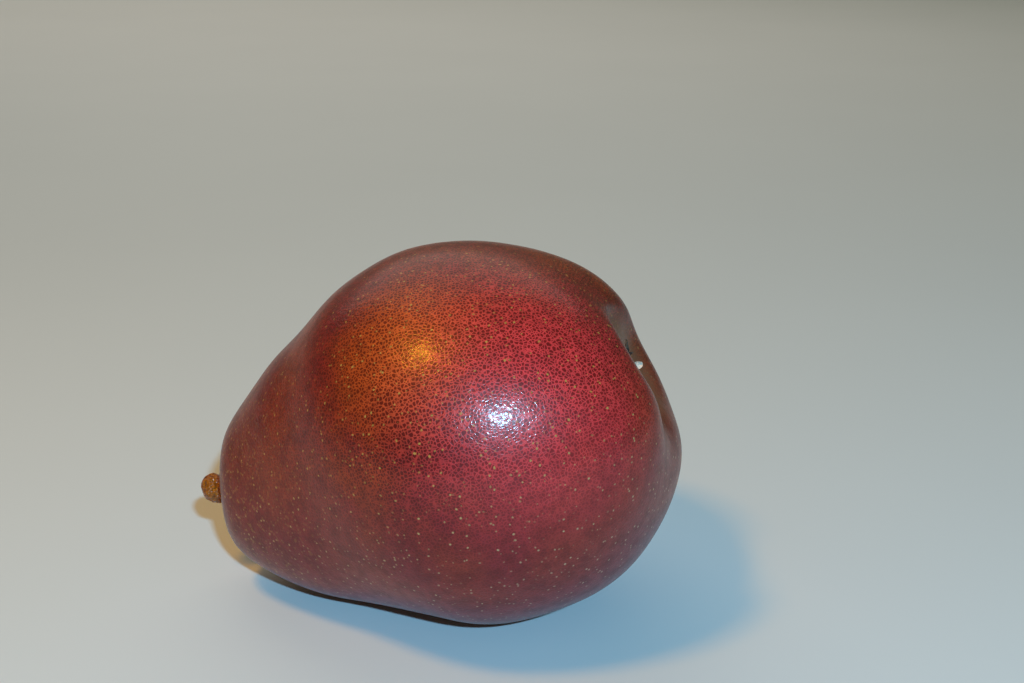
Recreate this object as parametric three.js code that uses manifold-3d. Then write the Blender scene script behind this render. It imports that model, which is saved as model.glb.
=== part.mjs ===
// A red pear lying on its side, with its short stem and the dried remains of its flower.
// Sizes are in millimetres, and +Z is up. The pear lies along X, with its wide end, where the
// calyx is, towards +X and raised. The origin is on the surface that the pear lies on, under the
// middle of the fruit's box.

import * as THREE from 'three';
import * as BufferGeometryUtils from 'three/addons/utils/BufferGeometryUtils.js';
import Module from 'manifold-3d';

const { clamp, degToRad, euclideanModulo, lerp, radToDeg, smoothstep } = THREE.MathUtils;

// Driving dimensions of the fruit. Its core line runs from the stem to the calyx.
const lean = degToRad(20.6);
const coreLength = 87.5;
const restDepth = 0.9;
const roundSteps = 64;
const alongSteps = 46;

// Outline of the fruit between the two hollows: distance along the core line, and radius
const outline = [
  [2.0, 3.5],
  [1.5, 5.4],
  [3.6, 11.4],
  [8.7, 16.1],
  [16.7, 21.2],
  [26.4, 25.9],
  [37.8, 33.0],
  [50.0, 37.4],
  [62.4, 36.5],
  [73.8, 31.7],
  [82.2, 24.7],
  [86.6, 17.6],
  [87.5, 12.8],
  [86.0, 8.8],
  [83.9, 6.1],
  [83.0, 3.9],
];

// How far the sections hang below the core line, at the neck and at the belly
const neckSag = -1.1;
const bellySag = 1.9;

// Broad swellings, and dents where the height is below zero. The angle is 0 on top, 90 on the
// front side and 180 underneath. They reach so far along the core line and, in degrees, round it.
const swellings = [
  { name: 'low edge of the neck end', along: 6, angle: 180, height: 2.9, reach: 9, turn: 60 },
  { name: 'upper edge of the neck end', along: 8, angle: 15, height: -2.0, reach: 7, turn: 50 },
  { name: 'front of the neck', along: 15, angle: 90, height: -2.4, reach: 9, turn: 40 },
  { name: 'underside of the neck', along: 22, angle: 160, height: 4.5, reach: 11, turn: 42 },
  { name: 'top of the neck', along: 25, angle: 0, height: -0.8, reach: 12, turn: 45 },
  { name: 'waist underneath', along: 36, angle: 165, height: -1.3, reach: 5, turn: 35 },
  { name: 'lower front of the belly', along: 38, angle: 155, height: 1.4, reach: 8, turn: 45 },
  { name: 'front of the waist', along: 33, angle: 110, height: -0.8, reach: 8, turn: 32 },
  { name: 'upper front of the neck', along: 20, angle: 20, height: -0.7, reach: 9, turn: 40 },
  { name: 'far shoulder of the belly', along: 45, angle: 330, height: -1.1, reach: 9, turn: 35 },
  { name: 'top of the belly', along: 55, angle: 350, height: -2.2, reach: 14, turn: 45 },
  { name: 'back edge of the belly', along: 72, angle: 185, height: 2.0, reach: 8, turn: 40 },
  { name: 'top of the wide end', along: 78, angle: 355, height: -3.1, reach: 14, turn: 45 },
  { name: 'underside of the wide end', along: 82, angle: 170, height: -1.4, reach: 13, turn: 40 },
  { name: 'lower front of the rim', along: 89, angle: 130, height: 1.9, reach: 9, turn: 35 },
  { name: 'far side of the rim', along: 90, angle: 300, height: -1.8, reach: 9, turn: 35 },
  { name: 'near side of the rim', along: 90, angle: 60, height: -0.3, reach: 9, turn: 40 },
];

// The rim round the calyx has five low lobes, and three broader ones under them
const rimLobes = [
  { count: 5, height: 0.25, phase: 32 },
  { count: 3, height: 0.9, phase: 76 },
];
const rimLobeReach = 9;

// The hollows that the stem and the calyx sit in, and the gap round both. The swellings fade in
// between the two radii of the lip.
const seatGap = 0.3;
const seatLip = [4, 9];
const stemSeat = { radius: 3.1, floor: 4.2 };
const calyxSeat = { radius: 3.2, floor: 81.1 };

// The stem: a stout stub that bends up out of its seat, droops a little and ends in a rounded,
// lumpy knob.
// Its radii are given at their distance from its root.
const stemReach = 4.4;
const stemRise = degToRad(28);
const stemBend = 0.3;
const stemDroop = 1.8;
const stemRadii = [
  [0, 2.8],
  [2.6, 2.8],
  [3.9, 2.6],
  [5.4, 3.05],
  [6.8, 2.7],
  [7.8, 2.1],
];
const stemTipRadius = 0.6;
const stemSides = 24;
const stemSteps = 14;
const stemLumps = { share: 0.08, count: 5, spacing: 3.1, fadeIn: 2 };

// The calyx: a woody disc with dried sepals, stamens and styles. The sepals narrow to a tip, are
// folded along their middle, and curl. Each piece is rooted in the disc.
const calyxDisc = { radius: calyxSeat.radius - seatGap, height: 1.8, sides: 20 };
const sepals = { count: 5, ring: 2.0, length: 3.6, width: 2.7, thickness: 0.7, steps: 4 };
const sepalForm = { narrowing: 0.78, fold: 0.35, curl: -0.9, curlSpread: 0.5 };
const sepalLean = { middle: 62, spread: 10, turnSpread: 8 };
const stamens = { count: 10, ring: 1.7, length: 1.3, radius: 0.34, lean: 24 };
const styles = { count: 5, ring: 0.55, length: 1.1, radius: 0.36, lean: 8 };
const threadForm = { sides: 5, taper: 0.8, lengthSpread: 0.2, leanSpread: 9, turnSpread: 10 };
const rootDepth = 0.7;
const calyxSeed = 11;

// The pear's own frame: its Y axis is the core line, its Z axis points to the top side, and its
// X axis to the front side
const frontSide = new THREE.Vector3(0, -1, 0);
const coreLine = new THREE.Vector3(Math.cos(lean), 0, Math.sin(lean));
const topSide = new THREE.Vector3().crossVectors(frontSide, coreLine);
const lyingDown = new THREE.Matrix4().makeBasis(frontSide, coreLine, topSide);

const mergeDistance = 1e-4;
const wasm = await Module();
wasm.setup();

// A random number between -1 and 1, the same in every run
function seededRandom(seed) {
  let state = seed;
  return () => {
    state = (state * 16807) % 2147483647;
    return 2 * (state / 2147483647) - 1;
  };
}

// Solids that can be joined, from a closed geometry and back
function solidFrom(geometry) {
  const bare = geometry.clone();
  bare.deleteAttribute('normal');
  bare.deleteAttribute('uv');
  const merged = BufferGeometryUtils.mergeVertices(bare, mergeDistance);
  return new wasm.Manifold(new wasm.Mesh({
    numProp: 3,
    vertProperties: Float32Array.from(merged.attributes.position.array),
    triVerts: Uint32Array.from(merged.index.array),
  }));
}

function geometryFrom(solid) {
  const mesh = solid.getMesh();
  const geometry = new THREE.BufferGeometry();
  geometry.setAttribute('position', new THREE.BufferAttribute(mesh.vertProperties, 3));
  geometry.setIndex(new THREE.BufferAttribute(mesh.triVerts, 1));
  geometry.computeVertexNormals();
  return geometry;
}

// Height of all the swellings and lobes together at one place of the skin
function swellingAt(along, angle) {
  let height = 0;
  for (const swelling of swellings) {
    const turned = euclideanModulo(angle - swelling.angle + 180, 360) - 180;
    const alongPart = ((along - swelling.along) / swelling.reach) ** 2;
    const turnPart = (turned / swelling.turn) ** 2;
    height += swelling.height * Math.exp(-0.5 * (alongPart + turnPart));
  }
  const rimPart = Math.exp(-0.5 * ((along - coreLength) / rimLobeReach) ** 2);
  for (const lobe of rimLobes) {
    height += rimPart * lobe.height * Math.cos(degToRad(lobe.count * (angle - lobe.phase)));
  }
  return height;
}

// Drop of a section below the core line, from its share of the way along the skin
function sagAt(share) {
  const sag = lerp(neckSag, bellySag, smoothstep(share, 0.2, 0.7));
  return sag * smoothstep(share, 0, 0.13) * (1 - smoothstep(share, 0.87, 1));
}

// The half section that is turned about the core line: a seat, the skin, and the other seat
const stemSeatRows = [[0, stemSeat.floor], [stemSeat.radius, stemSeat.floor]];
const calyxSeatRows = [[calyxSeat.radius, calyxSeat.floor], [0, calyxSeat.floor]];

function fruitSection() {
  const points = outline.map(([along, radius]) => new THREE.Vector3(radius, along, 0));
  const skin = new THREE.CatmullRomCurve3(points, false, 'centripetal').getSpacedPoints(alongSteps);
  const rows = [...stemSeatRows, ...skin.map((point) => [point.x, point.y]), ...calyxSeatRows];
  return rows.map(([radius, along]) => new THREE.Vector2(radius, along));
}

// The fruit is turned, its skin is pushed out and in, and it is laid down on its side
function fruitGeometry() {
  const section = fruitSection();
  const geometry = new THREE.LatheGeometry(section, roundSteps);
  const { position, normal } = geometry.attributes;
  const vertex = new THREE.Vector3();
  const outward = new THREE.Vector3();
  for (let i = 0; i < position.count; i += 1) {
    vertex.fromBufferAttribute(position, i);
    outward.fromBufferAttribute(normal, i);
    const row = i % section.length;
    const share = clamp((row - stemSeatRows.length) / alongSteps, 0, 1);
    const angle = radToDeg(Math.atan2(vertex.x, vertex.z));
    const clearOfSeat = smoothstep(Math.hypot(vertex.x, vertex.z), ...seatLip);
    vertex.addScaledVector(outward, swellingAt(vertex.y, angle) * clearOfSeat);
    vertex.z -= sagAt(share);
    position.setXYZ(i, vertex.x, vertex.y, vertex.z);
  }
  return geometry.applyMatrix4(lyingDown);
}

// The stem stands on its Y axis, with its root at the bottom, and bends towards its -Z side
function stemGeometry() {
  const length = stemSeat.floor - seatGap + stemReach;
  const corners = [...stemRadii, [length, stemTipRadius]];
  const points = corners.map(([along, radius]) => new THREE.Vector3(radius, along, 0));
  const side = new THREE.CatmullRomCurve3(points, false, 'centripetal').getSpacedPoints(stemSteps);
  const section = side.map((point) => new THREE.Vector2(point.x, point.y));
  section.unshift(new THREE.Vector2(0, 0));
  section.push(new THREE.Vector2(0, length));
  const geometry = new THREE.LatheGeometry(section, stemSides);
  const { position } = geometry.attributes;
  for (let i = 0; i < position.count; i += 1) {
    const [x, y, z] = [position.getX(i), position.getY(i), position.getZ(i)];
    const free = Math.max(0, y - stemSeat.floor);
    const roundWave = Math.sin(stemLumps.count * Math.atan2(x, z));
    const alongWave = Math.sin((2 * Math.PI * y) / stemLumps.spacing);
    const lump = 1 + stemLumps.share * roundWave * alongWave * smoothstep(free, 0, stemLumps.fadeIn);
    const droop = stemDroop * (free / stemReach) ** 3;
    const rise = (Math.tan(stemRise) * free ** 2) / (free + stemBend) - droop;
    position.setXYZ(i, x * lump, y, z * lump - rise);
  }
  return geometry;
}

// One dried sepal, rooted at the origin: it runs out along Y, narrows to a tip and curls
function sepalGeometry(curl) {
  const { length, width, thickness, steps } = sepals;
  const geometry = new THREE.BoxGeometry(width, length + rootDepth, thickness, 2, steps, 1);
  geometry.translate(0, (length - rootDepth) / 2, 0);
  const { position } = geometry.attributes;
  for (let i = 0; i < position.count; i += 1) {
    const [x, y, z] = [position.getX(i), position.getY(i), position.getZ(i)];
    const share = clamp(y / length, 0, 1);
    const narrowed = x * (1 - sepalForm.narrowing * share);
    const fold = sepalForm.fold * Math.abs(narrowed);
    position.setXYZ(i, narrowed, y, z + fold + curl * share ** 2);
  }
  return geometry;
}

// A piece of the calyx, leant outwards by so many degrees, on a ring of the disc, at its turn
function placedOnDisc(geometry, ring, outwardLean, turn) {
  geometry.rotateX(degToRad(outwardLean));
  geometry.translate(0, calyxDisc.height, ring);
  return geometry.rotateY(degToRad(turn));
}

// The calyx stands on its Y axis: all its pieces are joined to the disc
function calyxGeometry() {
  const random = seededRandom(calyxSeed);
  const { radius, height, sides } = calyxDisc;
  const disc = new THREE.CylinderGeometry(radius, radius, height, sides).translate(0, height / 2, 0);
  let solid = solidFrom(disc);

  for (let i = 0; i < sepals.count; i += 1) {
    const turn = (360 / sepals.count) * i + sepalLean.turnSpread * random();
    const blade = sepalGeometry(sepalForm.curl + sepalForm.curlSpread * random());
    const outwardLean = sepalLean.middle + sepalLean.spread * random();
    solid = solid.add(solidFrom(placedOnDisc(blade, sepals.ring, outwardLean, turn)));
  }

  for (const threads of [stamens, styles]) {
    for (let i = 0; i < threads.count; i += 1) {
      const length = threads.length * (1 + threadForm.lengthSpread * random()) + rootDepth;
      const tipRadius = threadForm.taper * threads.radius;
      const thread = new THREE.CylinderGeometry(tipRadius, threads.radius, length, threadForm.sides);
      thread.translate(0, length / 2 - rootDepth, 0);
      const turn = (360 / threads.count) * (i + 0.5) + threadForm.turnSpread * random();
      const outwardLean = threads.lean + threadForm.leanSpread * random();
      solid = solid.add(solidFrom(placedOnDisc(thread, threads.ring, outwardLean, turn)));
    }
  }
  return geometryFrom(solid);
}

// The skin is pressed flat where the fruit rests
function pressedFlat(geometry) {
  const { position } = geometry.attributes;
  geometry.computeBoundingBox();
  const floor = geometry.boundingBox.min.z + restDepth;
  for (let i = 0; i < position.count; i += 1) {
    position.setZ(i, Math.max(floor, position.getZ(i)));
  }
  geometry.computeVertexNormals();
  return geometry;
}

function namedMesh(name, geometry, color, roughness) {
  const material = new THREE.MeshStandardMaterial({ color, roughness, metalness: 0 });
  const mesh = new THREE.Mesh(geometry, material);
  mesh.name = name;
  return mesh;
}

const fruit = namedMesh('fruit', pressedFlat(fruitGeometry()), 0x7a2127, 0.35);

const stem = namedMesh('stem', stemGeometry(), 0x7d4a1c, 0.45);
stem.position.y = stemSeat.floor - seatGap;
stem.rotation.x = Math.PI;

const calyx = namedMesh('calyx', calyxGeometry(), 0x3b2a20, 0.8);
calyx.position.y = calyxSeat.floor + seatGap;

// The stem and the calyx are placed in the pear's own frame, which lies down with the fruit
const ends = new THREE.Group();
ends.add(stem, calyx);
ends.applyMatrix4(lyingDown);

// The whole pear stands over the origin
const pear = new THREE.Group();
pear.add(fruit, ends);
const box = new THREE.Box3().setFromObject(pear, true);
const middle = box.getCenter(new THREE.Vector3());
pear.position.set(-middle.x, -middle.y, -box.min.z);

export default pear;
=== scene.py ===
import math

import bmesh
import bpy
from mathutils import Matrix, Vector


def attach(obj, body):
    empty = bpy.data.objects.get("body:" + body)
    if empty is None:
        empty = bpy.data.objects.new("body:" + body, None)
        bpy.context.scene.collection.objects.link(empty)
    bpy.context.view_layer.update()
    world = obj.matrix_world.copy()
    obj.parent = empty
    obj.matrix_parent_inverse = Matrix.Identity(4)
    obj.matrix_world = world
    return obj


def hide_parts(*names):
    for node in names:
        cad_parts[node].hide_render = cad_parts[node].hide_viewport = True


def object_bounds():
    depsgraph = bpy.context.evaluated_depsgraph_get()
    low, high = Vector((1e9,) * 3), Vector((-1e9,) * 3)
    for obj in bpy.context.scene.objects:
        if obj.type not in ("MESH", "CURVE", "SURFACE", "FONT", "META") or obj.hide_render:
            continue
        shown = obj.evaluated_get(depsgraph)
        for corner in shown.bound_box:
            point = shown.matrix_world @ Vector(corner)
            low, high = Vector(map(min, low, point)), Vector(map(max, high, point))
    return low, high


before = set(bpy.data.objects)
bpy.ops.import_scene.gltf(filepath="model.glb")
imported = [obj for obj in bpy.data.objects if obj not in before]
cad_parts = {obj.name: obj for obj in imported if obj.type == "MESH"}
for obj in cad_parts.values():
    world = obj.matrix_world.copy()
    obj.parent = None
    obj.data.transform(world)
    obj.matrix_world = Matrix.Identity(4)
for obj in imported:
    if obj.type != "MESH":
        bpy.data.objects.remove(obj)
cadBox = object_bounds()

# A red pear lying on its side. Blender works in metres; the sizes below are in millimetres and
# degrees, and mm turns them to metres. Materials read millimetres along the pear's own axes:
# X from the stem to the calyx, Y to the back and Z to the side that lies uppermost.
mm = 0.001
pearAxes = {
    "stemEnd": (-41.90, 0.25, 18.63),  # where the core line starts
    "lean": 20.6,  # how far the core line rises towards the calyx
}
lean = math.radians(pearAxes["lean"])


def linear(hexColour):
    parts = [int(hexColour[i : i + 2], 16) / 255 for i in (1, 3, 5)]
    curved = [p / 12.92 if p <= 0.04045 else ((p + 0.055) / 1.055) ** 2.4 for p in parts]
    return (*curved, 1.0)


def pearPoint(along, back, top):
    x, y, z = pearAxes["stemEnd"]
    xOut = x + along * math.cos(lean) - top * math.sin(lean)
    zOut = z + along * math.sin(lean) + top * math.cos(lean)
    return Vector((xOut, y + back, zOut)) * mm


def addNode(tree, kind, settings=None, links=None):
    node = tree.nodes.new(kind)
    for name, value in (settings or {}).items():
        if isinstance(name, str) and hasattr(node, name):
            setattr(node, name, value)
        else:
            node.inputs[name].default_value = value
    for name, socket in (links or {}).items():
        tree.links.new(socket, node.inputs[name])
    return node


# Every material starts here: its name, its main shader, and the place in millimetres on the
# pear's axes that all its patterns read
def startMaterial(name, shaderSettings):
    material = bpy.data.materials.new(name)
    material.use_nodes = True
    tree = material.node_tree
    tree.nodes.clear()
    shader = addNode(tree, "ShaderNodeBsdfPrincipled", shaderSettings)
    addNode(tree, "ShaderNodeOutputMaterial", {}, {"Surface": shader.outputs["BSDF"]})
    objectPlace = addNode(tree, "ShaderNodeTexCoord")
    turned = {
        "vector_type": "TEXTURE",
        "Location": [c * mm for c in pearAxes["stemEnd"]],
        "Rotation": (0, -lean, 0),
        "Scale": (mm, mm, mm),
    }
    place = addNode(tree, "ShaderNodeMapping", turned, {"Vector": objectPlace.outputs["Object"]})
    return material, tree, shader, place.outputs["Vector"]


def finishPiece(piece, name, nodeName):
    for polygon in piece.data.polygons:
        polygon.use_smooth = True
    piece.name = piece.data.name = name
    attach(piece, "root")
    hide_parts(nodeName)
    print("piece", name, len(piece.data.vertices), "points")
    return piece


# Turns a piece with live modifiers into a new piece with a plain mesh
def plainPiece(piece):
    depsgraph = bpy.context.evaluated_depsgraph_get()
    mesh = bpy.data.meshes.new_from_object(piece.evaluated_get(depsgraph))
    bpy.data.objects.remove(piece)
    plain = bpy.data.objects.new("plain", mesh)
    bpy.context.scene.collection.objects.link(plain)
    return plain


# A joined copy of a CAD node's loose triangles, in four-sided faces where they pair up
def copyNode(nodeName, levels):
    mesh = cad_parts[nodeName].data.copy()
    mesh.materials.clear()
    shape = bmesh.new()
    shape.from_mesh(mesh)
    mergeReach = 0.002 * mm
    bmesh.ops.remove_doubles(shape, verts=shape.verts, dist=mergeReach)
    pairAngle = math.radians(40)
    bmesh.ops.join_triangles(
        shape, faces=shape.faces, angle_face_threshold=pairAngle, angle_shape_threshold=math.pi
    )
    shape.to_mesh(mesh)
    shape.free()
    piece = bpy.data.objects.new("copy", mesh)
    bpy.context.scene.collection.objects.link(piece)
    finer = piece.modifiers.new("finer", "SUBSURF")
    finer.levels = finer.render_levels = levels
    return piece


def startTree(name, inputs):
    tree = bpy.data.node_groups.new(name, "GeometryNodeTree")
    tree.interface.new_socket("Geometry", in_out="INPUT", socket_type="NodeSocketGeometry")
    tree.interface.new_socket("Geometry", in_out="OUTPUT", socket_type="NodeSocketGeometry")
    for label, kind in inputs:
        tree.interface.new_socket(label, in_out="INPUT", socket_type="NodeSocket" + kind)
    return tree, addNode(tree, "NodeGroupInput").outputs


# The tree's inputs are set by their identifiers, before it is first evaluated
def addTree(piece, tree, values):
    modifier = piece.modifiers.new(tree.name, "NODES")
    modifier.node_group = tree
    for item in tree.interface.items_tree:
        if item.in_out == "INPUT" and item.name in values:
            modifier[item.identifier] = values[item.name]
    return piece


print("stage: skin")
skinValues = {
    "levels": 2,
    "reliefSize": 7.0,
    "reliefDepth": 0.12,
    "reliefRise": 0.13,
    "pitSpacing": 0.6,
    "pitSink": 0.25,  # a share of the grain height
    "bendScale": 0.7,
    "bendReach": 0.6,
    "grainSize": 0.62,
    "grainHeight": 0.036,
    "lenticelSpacing": 1.15,
    "fleckSize": 0.8,
    "cloudSize": 16.0,
    "mottleSize": 2.6,
    # the middles of the two painted light patches and of the two russet rings: an orange painted
    # highlight round the warm lamp's glint, and a brighter red painted lit patch where the cool
    # lamp falls on the belly
    "centres": {
        "paintedWarmHighlight": (57.0, -27.0, 22.0),
        "paintedLitPatch": (73.0, -28.0, 11.0),
        "calyxRusset": (84.5, 0.0, 0.0),
        "stemRusset": (1.5, 0.0, 0.0),
    },
    # each mask: where what it reads starts and ends, then its own values at those two
    "softMasks": {
        "pit": (0.02, 0.2, 0.0, 1.0),
        "spot": (0.1, 0.24, 1.0, 0.0),
        "fleck": (0.56, 0.72, 0.0, 0.5),
        # painted light: how far out the painted highlight and the painted lit patch fade
        "paintedWarmHighlight": (21.0, 3.0, 0.0, 0.8),
        "paintedLitPatch": (34.0, 3.0, 0.0, 0.95),
        "calyxRusset": (13.5, 7.0, 0.0, 0.85),
        "stemRusset": (7.5, 4.0, 0.0, 0.8),
    },
    "evenMasks": {
        "neck": (34.0, 4.0, 0.0, 0.85),
        "under": (6.0, -22.0, 0.0, 0.8),
        "netAlong": (18.0, 50.0, 0.4, 0.95),
        "netUp": (-14.0, 8.0, 0.3, 0.9),
        "cloud": (0.4, 0.65, 0.0, 0.9),
        "mottle": (0.4, 0.65, 0.0, 0.4),
        "roughness": (0.3, 0.7, 0.36, 0.44),
    },
    "crimson": "#8c1c1e",
    # painted light: the brighter red of the lit patch and the orange of the painted highlight
    "paintedLitRed": "#e63e40",
    "paintedHighlightOrange": "#e06410",
    "ember": "#a63a12",
    "neckRed": "#7c1e10",
    "underPlum": "#82282c",
    "mottleShade": "#a88a88",
    "pitMaroon": "#70181e",
    "goldenSpot": "#b8843e",
    "paleSpot": "#b89880",
    "russet": "#84523a",
}


# Ripe pear skin: a thin waxed leathery skin with close dark pits in a paler net, and scattered
# tan breathing spots. The wax gives it a satin gloss that breaks up into grains on the net
def makeSkinMaterial(v):
    shaderSettings = {
        "IOR": 1.34,
        "Coat Weight": 0.35,
        "Coat IOR": 1.4,
        "Coat Roughness": 0.13,
    }
    material, tree, shader, place = startMaterial("waxyPearSkin", shaderSettings)
    axes = addNode(tree, "ShaderNodeSeparateXYZ", {}, {"Vector": place}).outputs
    noise = {}
    for name, scale, detail in (
        ("cloud", 1 / v["cloudSize"], 3.0),
        ("mottle", 1 / v["mottleSize"], 2.0),
        ("fleck", 1 / v["fleckSize"], 2.0),
        ("grain", 1 / v["grainSize"], 0.5),
        ("bend", v["bendScale"], 1.0),
    ):
        settings = {"Scale": scale, "Detail": detail}
        noise[name] = addNode(tree, "ShaderNodeTexNoise", settings, {"Vector": place}).outputs
    # the net is bent about by half a pit, so that no pit is quite round
    bend = addNode(
        tree,
        "ShaderNodeVectorMath",
        {"operation": "MULTIPLY_ADD", 1: (v["bendReach"],) * 3},
        {0: noise["bend"]["Color"], 2: place},
    ).outputs["Vector"]
    pitCells = addNode(
        tree,
        "ShaderNodeTexVoronoi",
        {"feature": "DISTANCE_TO_EDGE", "Scale": 1 / v["pitSpacing"], "Randomness": 0.8},
        {"Vector": bend},
    ).outputs
    spotCells = addNode(
        tree, "ShaderNodeTexVoronoi", {"Scale": 1 / v["lenticelSpacing"]}, {"Vector": bend}
    ).outputs

    # what each mask reads
    readings = {
        "pit": pitCells["Distance"],
        "spot": spotCells["Distance"],
        "fleck": noise["fleck"]["Fac"],
        "neck": axes["X"],
        "under": axes["Z"],
        "netAlong": axes["X"],
        "netUp": axes["Z"],
        "cloud": noise["cloud"]["Fac"],
        "mottle": noise["mottle"]["Fac"],
        "roughness": noise["mottle"]["Fac"],
    }
    for name, centre in v["centres"].items():
        away = addNode(
            tree, "ShaderNodeVectorMath", {"operation": "DISTANCE", 1: centre}, {0: place}
        )
        readings[name] = away.outputs["Value"]
    mask = {}
    for slope, rows in (("SMOOTHSTEP", v["softMasks"]), ("LINEAR", v["evenMasks"])):
        for name, ends in rows.items():
            settings = {"interpolation_type": slope, **dict(enumerate(ends, 1))}
            node = addNode(tree, "ShaderNodeMapRange", settings, {0: readings[name]})
            mask[name] = node.outputs["Result"]
    # every breathing spot has its own strength and the golden flecks keep to the neck. The dark
    # pits are the skin's own, but they are painted darkest on the belly's upper side, where the
    # lamps fall: painted light for the gloss on the net
    chance = addNode(tree, "ShaderNodeSeparateXYZ", {}, {"Vector": spotCells["Color"]})
    mask["chance"] = chance.outputs["X"]
    for name, first, second in (
        ("spots", "spot", "chance"),
        ("flecks", "fleck", "neck"),
        ("clear", "netAlong", "netUp"),
        ("pits", "clear", "pit"),
    ):
        links = {0: mask[first], 1: mask[second]}
        node = addNode(tree, "ShaderNodeMath", {"operation": "MULTIPLY"}, links)
        mask[name] = node.outputs["Value"]

    spotColour = addNode(
        tree,
        "ShaderNodeMix",
        {"data_type": "RGBA", 6: linear(v["goldenSpot"]), 7: linear(v["paleSpot"])},
        {0: mask["under"]},
    ).outputs[2]
    # each row lays a colour over the ones before it, as far as its mask says
    layers = [
        ("MIX", "cloud", v["ember"]),
        ("MIX", "neck", v["neckRed"]),
        ("MIX", "under", v["underPlum"]),
        # painted light: orange painted highlight at the warm glint, brighter red where the cool
        # lamp falls
        ("MIX", "paintedWarmHighlight", v["paintedHighlightOrange"]),
        ("MIX", "paintedLitPatch", v["paintedLitRed"]),
        ("MULTIPLY", "mottle", v["mottleShade"]),
        ("MULTIPLY", "pits", v["pitMaroon"]),
        ("MIX", "flecks", v["goldenSpot"]),
        ("MIX", "spots", spotColour),
        ("MIX", "calyxRusset", v["russet"]),
        ("MIX", "stemRusset", v["russet"]),
    ]
    below = linear(v["crimson"])
    for blend, name, colour in layers:
        settings, links = {"data_type": "RGBA", "blend_type": blend}, {0: mask[name]}
        above = linear(colour) if isinstance(colour, str) else colour
        for slot, side in ((6, below), (7, above)):
            (settings if isinstance(side, tuple) else links)[slot] = side
        below = addNode(tree, "ShaderNodeMix", settings, links).outputs[2]
    tree.links.new(below, shader.inputs["Base Color"])
    tree.links.new(mask["roughness"], shader.inputs["Roughness"])

    # soft grains of the skin, with the pits sunk a little between them
    height = addNode(
        tree,
        "ShaderNodeMath",
        {"operation": "MULTIPLY_ADD", 1: -v["pitSink"]},
        {0: mask["pit"], 2: noise["grain"]["Fac"]},
    )
    bump = addNode(
        tree,
        "ShaderNodeBump",
        {"Strength": 1.0, "Distance": v["grainHeight"] * mm},
        {"Height": height.outputs["Value"]},
    )
    for socket in ("Normal", "Coat Normal"):
        tree.links.new(bump.outputs["Normal"], shader.inputs[socket])
    return material


# A grown surface's own unevenness: every point moves out by the rise and in by up to the depth,
# and none leaves the box of the whole pear
def makeReliefTree():
    tree, given = startTree(
        "grownRelief",
        [
            ("Size", "Float"),
            ("Depth", "Float"),
            ("Rise", "Float"),
            ("Low", "Vector"),
            ("High", "Vector"),
            ("Material", "Material"),
        ],
    )
    scale = addNode(tree, "ShaderNodeMath", {"operation": "DIVIDE", 0: 1.0}, {1: given["Size"]})
    noise = addNode(
        tree, "ShaderNodeTexNoise", {"Detail": 2.0}, {"Scale": scale.outputs["Value"]}
    )
    sink = addNode(
        tree,
        "ShaderNodeMath",
        {"operation": "MULTIPLY"},
        {0: noise.outputs["Fac"], 1: given["Depth"]},
    )
    move = addNode(
        tree,
        "ShaderNodeMath",
        {"operation": "SUBTRACT"},
        {0: given["Rise"], 1: sink.outputs["Value"]},
    )
    normal = addNode(tree, "GeometryNodeInputNormal")
    offset = addNode(
        tree,
        "ShaderNodeVectorMath",
        {"operation": "SCALE"},
        {0: normal.outputs["Normal"], "Scale": move.outputs["Value"]},
    )
    spot = addNode(tree, "GeometryNodeInputPosition")
    moved = addNode(
        tree,
        "ShaderNodeVectorMath",
        {"operation": "ADD"},
        {0: spot.outputs["Position"], 1: offset.outputs["Vector"]},
    )
    aboveLow = addNode(
        tree,
        "ShaderNodeVectorMath",
        {"operation": "MAXIMUM"},
        {0: moved.outputs["Vector"], 1: given["Low"]},
    )
    belowHigh = addNode(
        tree,
        "ShaderNodeVectorMath",
        {"operation": "MINIMUM"},
        {0: aboveLow.outputs["Vector"], 1: given["High"]},
    )
    shaped = addNode(
        tree,
        "GeometryNodeSetPosition",
        {},
        {"Geometry": given["Geometry"], "Position": belowHigh.outputs["Vector"]},
    )
    realized = addNode(
        tree, "GeometryNodeRealizeInstances", {}, {"Geometry": shaped.outputs["Geometry"]}
    )
    painted = addNode(
        tree,
        "GeometryNodeSetMaterial",
        {},
        {"Geometry": realized.outputs["Geometry"], "Material": given["Material"]},
    )
    addNode(tree, "NodeGroupOutput", {}, {"Geometry": painted.outputs["Geometry"]})
    return tree


reliefTree = makeReliefTree()
skinMaterial = makeSkinMaterial(skinValues)
skinInputs = {
    "Size": skinValues["reliefSize"] * mm,
    "Depth": skinValues["reliefDepth"] * mm,
    "Rise": skinValues["reliefRise"] * mm,
    "Low": cadBox[0],
    "High": cadBox[1],
    "Material": skinMaterial,
}
skin = plainPiece(addTree(copyNode("fruit", skinValues["levels"]), reliefTree, skinInputs))
finishPiece(skin, "pearSkin", "fruit")


print("stage: stem")
stemValues = {
    "levels": 2,
    "lumpSize": 1.3,
    "lumpDepth": 0.5,
    "lumpRise": 0.27,
    "barkGrain": 0.62,
    "barkDepth": 0.35,
    "streakScale": 0.9,
    "furrow": (0.4, 0.8, 0.0, 0.6),  # from and to in the grain's distance, then the mask's values
    "amber": "#c06c10",
    "chestnut": "#8a3a08",
    "rootBrown": "#33150a",
}
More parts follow.
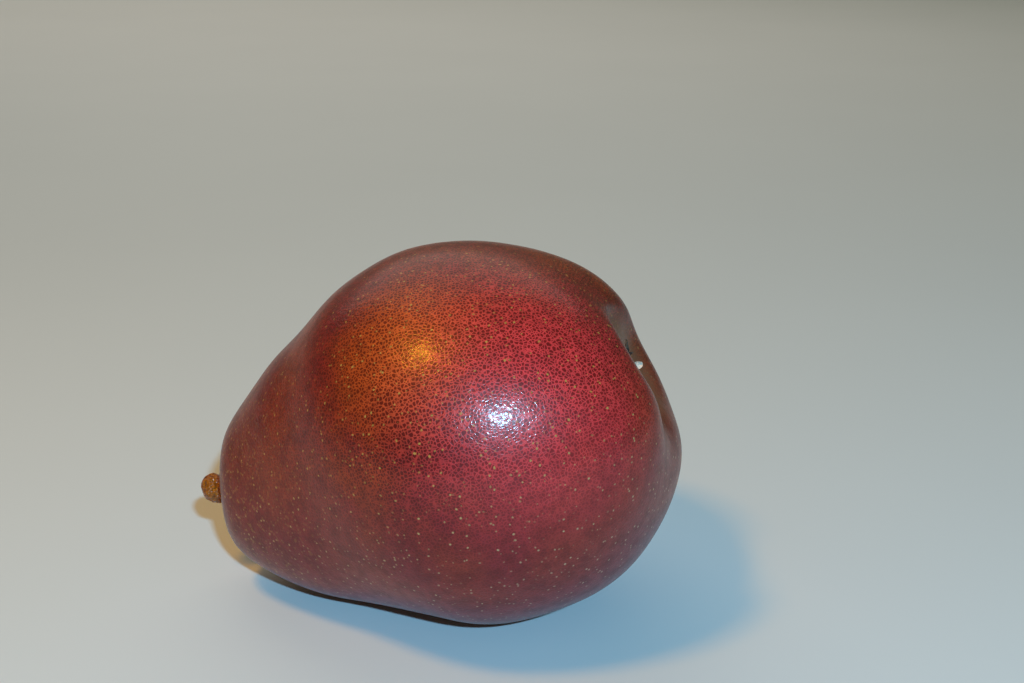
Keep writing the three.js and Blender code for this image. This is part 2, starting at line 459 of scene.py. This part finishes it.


# A dried pear stem: hard shiny bark with close round grains, streaked amber and chestnut
def makeStemMaterial(v):
    shaderSettings = {"IOR": 1.45, "Roughness": 0.22}
    material, tree, shader, place = startMaterial("driedStemBark", shaderSettings)
    grains = addNode(
        tree, "ShaderNodeTexVoronoi", {"Scale": 1 / v["barkGrain"]}, {"Vector": place}
    )
    streaks = addNode(
        tree, "ShaderNodeTexNoise", {"Scale": v["streakScale"], "Detail": 4.0}, {"Vector": place}
    )
    bark = addNode(
        tree,
        "ShaderNodeMix",
        {"data_type": "RGBA", 6: linear(v["amber"]), 7: linear(v["chestnut"])},
        {0: streaks.outputs["Fac"]},
    )
    furrowEnds = dict(enumerate(v["furrow"], 1))
    furrow = addNode(tree, "ShaderNodeMapRange", furrowEnds, {0: grains.outputs["Distance"]})
    dark = addNode(
        tree,
        "ShaderNodeMix",
        {"data_type": "RGBA", 7: linear(v["rootBrown"])},
        {0: furrow.outputs["Result"], 6: bark.outputs[2]},
    )
    tree.links.new(dark.outputs[2], shader.inputs["Base Color"])
    bump = addNode(
        tree,
        "ShaderNodeBump",
        {"Strength": 1.0, "Distance": v["barkDepth"] * mm, "invert": True},
        {"Height": grains.outputs["Distance"]},
    )
    tree.links.new(bump.outputs["Normal"], shader.inputs["Normal"])
    return material


stemInputs = {
    "Size": stemValues["lumpSize"] * mm,
    "Depth": stemValues["lumpDepth"] * mm,
    "Rise": stemValues["lumpRise"] * mm,
    "Low": cadBox[0],
    "High": cadBox[1],
    "Material": makeStemMaterial(stemValues),
}
stem = plainPiece(addTree(copyNode("stem", stemValues["levels"]), reliefTree, stemInputs))
finishPiece(stem, "pearStem", "stem")


print("stage: calyx")
calyxValues = {
    "discTop": 83.2,  # where it is along the core line
    "sizes": (0.8, 1.1),  # the smallest and the largest blade of a ring
    "wearScale": 0.8,
    "blotchScale": 1.3,
    "blotchEnds": (0.45, 0.7),
    "blotchDepth": 0.1,
    "darkBrown": "#30201a",
    "greyBrown": "#6b5746",
    "hairGrey": "#a39a8c",
    "papery": "#f8ccb0",
}
# One row for the disc and for each kind of blade that stands on it. The profile is the share
# of the full width that a blade has from its root to its tip
blades = {
    "calyxDisc": {
        "Count": 1, "Ring": 0.0, "Length": 1.8, "Width": 5.8, "Thickness": 5.8, "Root": -1.8,
        "Lean": 0.0, "Bend": 0.0, "Fold": 0.0, "Spread": 0.0, "Wear": 0.25, "Seed": 3,
        "profile": (0.94, 1.0, 1.0, 0.96, 0.55), "sides": 28, "steps": 10,
    },
    "calyxSepals": {
        "Count": 5, "Ring": 2.0, "Length": 3.7, "Width": 2.5, "Thickness": 0.42, "Root": -0.5,
        "Lean": 40.0, "Bend": 0.45, "Fold": 0.12, "Spread": 14.0, "Wear": 0.5, "Seed": 5,
        "profile": (0.8, 1.0, 0.86, 0.5, 0.12), "sides": 14, "steps": 12,
    },
    "calyxStamens": {
        "Count": 12, "Ring": 1.55, "Length": 1.5, "Width": 0.42, "Thickness": 0.42, "Root": -0.2,
        "Lean": 12.0, "Bend": 0.15, "Fold": 0.0, "Spread": 22.0, "Wear": 0.2, "Seed": 8,
        "profile": (0.5, 0.42, 0.4, 1.0, 0.7), "sides": 8, "steps": 8,
    },
    "calyxHairs": {
        "Count": 34, "Ring": 1.9, "Length": 1.1, "Width": 0.09, "Thickness": 0.09, "Root": -0.1,
        "Lean": 20.0, "Bend": 0.3, "Fold": 0.0, "Spread": 38.0, "Wear": 0.5, "Seed": 21,
        "profile": (1.0, 0.9, 0.7, 0.5, 0.3), "sides": 4, "steps": 4, "material": "driedHair",
    },
    "calyxTips": {
        "Count": 2, "Ring": 2.1, "Length": 1.7, "Width": 0.6, "Thickness": 0.95, "Root": 0.0,
        "Lean": 6.0, "Bend": 0.2, "Fold": 0.0, "Spread": 12.0, "Wear": 0.5, "Seed": 9,
        "profile": (0.6, 1.0, 0.9, 0.6, 0.2), "sides": 10, "steps": 8, "at": (0.9, -0.3, 0.6),
    },
    "calyxFlake": {
        "Count": 1, "Ring": 0.0, "Length": 1.9, "Width": 1.5, "Thickness": 0.12, "Root": 0.0,
        "Lean": 8.0, "Bend": 0.2, "Fold": 0.25, "Spread": 0.0, "Wear": 0.4, "Seed": 6,
        "profile": (0.5, 0.9, 1.0, 0.85, 0.5), "sides": 12, "steps": 10, "material": "paperyFlake",
        "at": (1.1, 0.4, -0.1), "spin": 90,
    },
    "calyxStyles": {
        "Count": 5, "Ring": 0.5, "Length": 1.3, "Width": 0.5, "Thickness": 0.5, "Root": -0.2,
        "Lean": 6.0, "Bend": 0.1, "Fold": 0.0, "Spread": 10.0, "Wear": 0.2, "Seed": 13,
        "profile": (0.9, 0.7, 0.6, 0.7, 0.5), "sides": 8, "steps": 8,
    },
}
lengthInputs = ("Ring", "Length", "Width", "Thickness", "Root", "Wear")
angleInputs = ("Lean", "Spread")


# Blades on a ring: one closed rod is flattened, narrowed by its profile and bent outwards, set
# up round the ring, roughened and turned to the core line
def makeBladeTree(name, row):
    inputs = [("Count", "Int"), ("Seed", "Int"), ("Bend", "Float"), ("Fold", "Float")]
    inputs += [(label, "Float") for label in lengthInputs + angleInputs]
    inputs += [("Place", "Vector"), ("Turn", "Vector"), ("Material", "Material")]
    tree, given = startTree(name, inputs)
    rod = addNode(
        tree,
        "GeometryNodeMeshCylinder",
        {"Vertices": row["sides"], "Side Segments": row["steps"], "Radius": 1.0, "Depth": 1.0},
    )
    spot = addNode(tree, "GeometryNodeInputPosition").outputs["Position"]
    axes = addNode(tree, "ShaderNodeSeparateXYZ", {}, {"Vector": spot})
    share = addNode(
        tree, "ShaderNodeMath", {"operation": "ADD", 1: 0.5}, {0: axes.outputs["Z"]}
    ).outputs["Value"]
    width = addNode(tree, "ShaderNodeFloatCurve", {}, {"Value": share})
    curve = width.mapping.curves[0]
    last = len(row["profile"]) - 1
    for i, level in enumerate(row["profile"]):
        if i in (0, last):
            curve.points[0 if i == 0 else -1].location = (i / last, level)
        else:
            curve.points.new(i / last, level)
    width.mapping.update()
    full = addNode(
        tree,
        "ShaderNodeCombineXYZ",
        {},
        {"X": given["Thickness"], "Y": given["Width"]},
    )
    wide = addNode(
        tree,
        "ShaderNodeVectorMath",
        {"operation": "MULTIPLY"},
        {0: spot, 1: full.outputs["Vector"]},
    )
    halfWidth = addNode(
        tree, "ShaderNodeMath", {"operation": "MULTIPLY", 1: 0.5}, {0: width.outputs["Value"]}
    )
    section = addNode(
        tree,
        "ShaderNodeVectorMath",
        {"operation": "SCALE"},
        {0: wide.outputs["Vector"], "Scale": halfWidth.outputs["Value"]},
    )
    # the middle line runs up by the length and out by the bend; the fold draws both edges in
    squared = addNode(tree, "ShaderNodeMath", {"operation": "POWER", 1: 2.0}, {0: share})
    bent = addNode(
        tree,
        "ShaderNodeMath",
        {"operation": "MULTIPLY"},
        {0: squared.outputs["Value"], 1: given["Bend"]},
    )
    edge = addNode(tree, "ShaderNodeMath", {"operation": "POWER", 1: 2.0}, {0: axes.outputs["Y"]})
    folded = addNode(
        tree,
        "ShaderNodeMath",
        {"operation": "MULTIPLY"},
        {0: edge.outputs["Value"], 1: given["Fold"]},
    )
    out = addNode(
        tree,
        "ShaderNodeMath",
        {"operation": "SUBTRACT"},
        {0: bent.outputs["Value"], 1: folded.outputs["Value"]},
    )
    middle = addNode(tree, "ShaderNodeCombineXYZ", {}, {"X": out.outputs["Value"], "Z": share})
    line = addNode(
        tree,
        "ShaderNodeVectorMath",
        {"operation": "SCALE"},
        {0: middle.outputs["Vector"], "Scale": given["Length"]},
    )
    shaped = addNode(
        tree,
        "ShaderNodeVectorMath",
        {"operation": "ADD"},
        {0: section.outputs["Vector"], 1: line.outputs["Vector"]},
    )
    blade = addNode(
        tree,
        "GeometryNodeSetPosition",
        {},
        {"Geometry": rod.outputs["Mesh"], "Position": shaped.outputs["Vector"]},
    )

    # the ring, with every blade's own turn, lean and size
    index = addNode(tree, "GeometryNodeInputIndex")
    ringShare = addNode(
        tree,
        "ShaderNodeMath",
        {"operation": "DIVIDE"},
        {0: index.outputs["Index"], 1: given["Count"]},
    )
    turn = addNode(
        tree,
        "ShaderNodeMath",
        {"operation": "MULTIPLY", 1: math.tau},
        {0: ringShare.outputs["Value"]},
    )
    across = addNode(tree, "ShaderNodeMath", {"operation": "COSINE"}, {0: turn.outputs["Value"]})
    upward = addNode(tree, "ShaderNodeMath", {"operation": "SINE"}, {0: turn.outputs["Value"]})
    unit = addNode(
        tree,
        "ShaderNodeCombineXYZ",
        {},
        {"X": across.outputs["Value"], "Y": upward.outputs["Value"]},
    )
    onRing = addNode(
        tree,
        "ShaderNodeVectorMath",
        {"operation": "SCALE"},
        {0: unit.outputs["Vector"], "Scale": given["Ring"]},
    )
    ring = addNode(
        tree,
        "GeometryNodePoints",
        {},
        {"Count": given["Count"], "Position": onRing.outputs["Vector"]},
    )
    minusSpread = addNode(
        tree, "ShaderNodeMath", {"operation": "MULTIPLY", 1: -1.0}, {0: given["Spread"]}
    )
    jitter = addNode(
        tree,
        "FunctionNodeRandomValue",
        {"data_type": "FLOAT"},
        {2: minusSpread.outputs["Value"], 3: given["Spread"], 8: given["Seed"]},
    )
    leaning = addNode(
        tree, "ShaderNodeMath", {"operation": "ADD"}, {0: given["Lean"], 1: jitter.outputs[1]}
    )
    rotation = addNode(
        tree,
        "ShaderNodeCombineXYZ",
        {},
        {"X": jitter.outputs[1], "Y": leaning.outputs["Value"], "Z": turn.outputs["Value"]},
    )
    smallest, largest = calyxValues["sizes"]
    size = addNode(
        tree,
        "FunctionNodeRandomValue",
        {"data_type": "FLOAT", 2: smallest, 3: largest},
        {8: given["Seed"]},
    )
    placed = addNode(
        tree,
        "GeometryNodeInstanceOnPoints",
        {},
        {
            "Points": ring.outputs["Points"],
            "Instance": blade.outputs["Geometry"],
            "Rotation": rotation.outputs["Vector"],
            "Scale": size.outputs[1],
        },
    )
    realized = addNode(
        tree, "GeometryNodeRealizeInstances", {}, {"Geometry": placed.outputs["Instances"]}
    )
    wearScale = calyxValues["wearScale"] / mm
    wearNoise = addNode(tree, "ShaderNodeTexNoise", {"Scale": wearScale, "Detail": 2.0})
    centred = addNode(
        tree,
        "ShaderNodeVectorMath",
        {"operation": "SUBTRACT", 1: (0.5, 0.5, 0.5)},
        {0: wearNoise.outputs["Color"]},
    )
    wear = addNode(
        tree,
        "ShaderNodeVectorMath",
        {"operation": "SCALE"},
        {0: centred.outputs["Vector"], "Scale": given["Wear"]},
    )
    roughened = addNode(
        tree,
        "GeometryNodeSetPosition",
        {},
        {"Geometry": realized.outputs["Geometry"], "Offset": wear.outputs["Vector"]},
    )
    rooted = addNode(tree, "ShaderNodeCombineXYZ", {}, {"Z": given["Root"]})
    lowered = addNode(
        tree,
        "GeometryNodeTransform",
        {},
        {"Geometry": roughened.outputs["Geometry"], "Translation": rooted.outputs["Vector"]},
    )
    stood = addNode(
        tree,
        "GeometryNodeTransform",
        {},
        {
            "Geometry": lowered.outputs["Geometry"],
            "Translation": given["Place"],
            "Rotation": given["Turn"],
        },
    )
    painted = addNode(
        tree,
        "GeometryNodeSetMaterial",
        {},
        {"Geometry": stood.outputs["Geometry"], "Material": given["Material"]},
    )
    addNode(tree, "NodeGroupOutput", {}, {"Geometry": painted.outputs["Geometry"]})
    return tree


# Dried flower parts: brittle and dull, with blotches of a second colour on the first
def makeDriedMaterial(v, name, base, blotch):
    shaderSettings = {"IOR": 1.4, "Roughness": 0.8}
    material, tree, shader, place = startMaterial(name, shaderSettings)
    blotches = addNode(
        tree, "ShaderNodeTexNoise", {"Scale": v["blotchScale"], "Detail": 4.0}, {"Vector": place}
    )
    blotchEnds = dict(enumerate(v["blotchEnds"], 1))
    share = addNode(tree, "ShaderNodeMapRange", blotchEnds, {0: blotches.outputs["Fac"]})
    colour = addNode(
        tree,
        "ShaderNodeMix",
        {"data_type": "RGBA", 6: linear(v[base]), 7: linear(v[blotch])},
        {0: share.outputs["Result"]},
    )
    tree.links.new(colour.outputs[2], shader.inputs["Base Color"])
    bump = addNode(
        tree,
        "ShaderNodeBump",
        {"Strength": 0.7, "Distance": v["blotchDepth"] * mm},
        {"Height": blotches.outputs["Fac"]},
    )
    tree.links.new(bump.outputs["Normal"], shader.inputs["Normal"])
    return material


driedMaterials = {
    name: makeDriedMaterial(calyxValues, name, base, blotch)
    for name, base, blotch in (
        ("driedFlower", "darkBrown", "greyBrown"),
        ("driedHair", "greyBrown", "hairGrey"),
        ("paperyFlake", "papery", "hairGrey"),
    )
}
calyxTurn = Matrix.Rotation(math.pi / 2 - lean, 3, "Y")
for bladeName, row in blades.items():
    values = {label: row[label] * mm for label in lengthInputs}
    values.update({label: math.radians(row[label]) for label in angleInputs})
    values.update({label: row[label] for label in ("Count", "Seed", "Bend", "Fold")})
    up, back, top = row.get("at", (0, 0, 0))
    values["Place"] = pearPoint(calyxValues["discTop"] + up, back, top)
    spin = Matrix.Rotation(math.radians(row.get("spin", 0)), 3, "Z")
    values["Turn"] = (calyxTurn @ spin).to_euler()
    values["Material"] = driedMaterials[row.get("material", "driedFlower")]
    start = bpy.data.objects.new("start", bpy.data.meshes.new("start"))
    bpy.context.scene.collection.objects.link(start)
    blade = plainPiece(addTree(start, makeBladeTree(bladeName, row), values))
    finishPiece(blade, bladeName, "calyx")


print("stage: floor, lights and camera")
# Here the floor and the lamps have their sizes in metres, and the lamps their power in watts
studio = {
    "floorSize": 6.0,
    "paperDark": "#d8d8d8",
    "paperPale": "#dedede",
    "paperRoughness": 0.9,
    "surround": "#e7ffcb",
    "surroundStrength": 0.1,
    "lens": 50,
    "cameraPlace": (51.73, -243.08, 136.78),
    "cameraTurn": (71.0, 0.0, 8.6),
}
lamps = {
    "warmLamp": {
        "place": (-136, -164, 440), "faces": (3, -26, 59), "size": (0.07, 0.07),
        "power": 0.78, "colour": "#ffb82a",
    },
    "coolLamp": {
        "place": (205, -525, 366), "faces": (19, -31, 51), "size": (0.025, 0.015),
        "power": 4.5, "colour": "#98d8ff",
    },
    "backLamp": {
        "place": (-420, 1000, 640), "faces": (-380, 1050, 0), "size": (1.6, 1.2),
        "power": 4.9, "colour": "#fff4ea",
    },
}

# Matt paper: evenly pale, with the faint cloudiness of its fibres
paper = bpy.data.materials.new("mattPaper")
paper.use_nodes = True
paperTree = paper.node_tree
paperShader = paperTree.nodes["Principled BSDF"]
paperShader.inputs["Roughness"].default_value = studio["paperRoughness"]
paperPlace = addNode(paperTree, "ShaderNodeTexCoord")
paperNoise = addNode(
    paperTree,
    "ShaderNodeTexNoise",
    {"Scale": 6.0, "Detail": 3.0},
    {"Vector": paperPlace.outputs["Object"]},
)
paperColour = addNode(
    paperTree,
    "ShaderNodeMix",
    {"data_type": "RGBA", 6: linear(studio["paperDark"]), 7: linear(studio["paperPale"])},
    {0: paperNoise.outputs["Fac"]},
)
paperTree.links.new(paperColour.outputs[2], paperShader.inputs["Base Color"])

bpy.ops.mesh.primitive_grid_add(size=studio["floorSize"], x_subdivisions=8, y_subdivisions=8)
floor = bpy.context.object
floor.name = "studioFloor"
floor.data.materials.append(paper)

world = bpy.data.worlds.new("paleSurround")
bpy.context.scene.world = world
world.use_nodes = True
background = world.node_tree.nodes["Background"]
background.inputs["Color"].default_value = linear(studio["surround"])
background.inputs["Strength"].default_value = studio["surroundStrength"]

for lampName, row in lamps.items():
    data = bpy.data.lights.new(lampName, "AREA")
    data.shape = "RECTANGLE"
    data.size, data.size_y = row["size"]
    data.energy = row["power"]
    data.color = linear(row["colour"])[:3]
    lamp = bpy.data.objects.new(lampName, data)
    bpy.context.scene.collection.objects.link(lamp)
    lamp.location = Vector(row["place"]) * mm
    away = Vector(row["place"]) - Vector(row["faces"])
    lamp.rotation_euler = away.to_track_quat("Z", "Y").to_euler()

cameraData = bpy.data.cameras.new("camera")
cameraData.lens = studio["lens"]
cameraData.sensor_width = 36
cameraData.clip_start = 0.01
camera = bpy.data.objects.new("camera", cameraData)
bpy.context.scene.collection.objects.link(camera)
camera.location = Vector(studio["cameraPlace"]) * mm
camera.rotation_euler = [math.radians(angle) for angle in studio["cameraTurn"]]
bpy.context.scene.camera = camera
bpy.context.scene.view_settings.view_transform = "Standard"
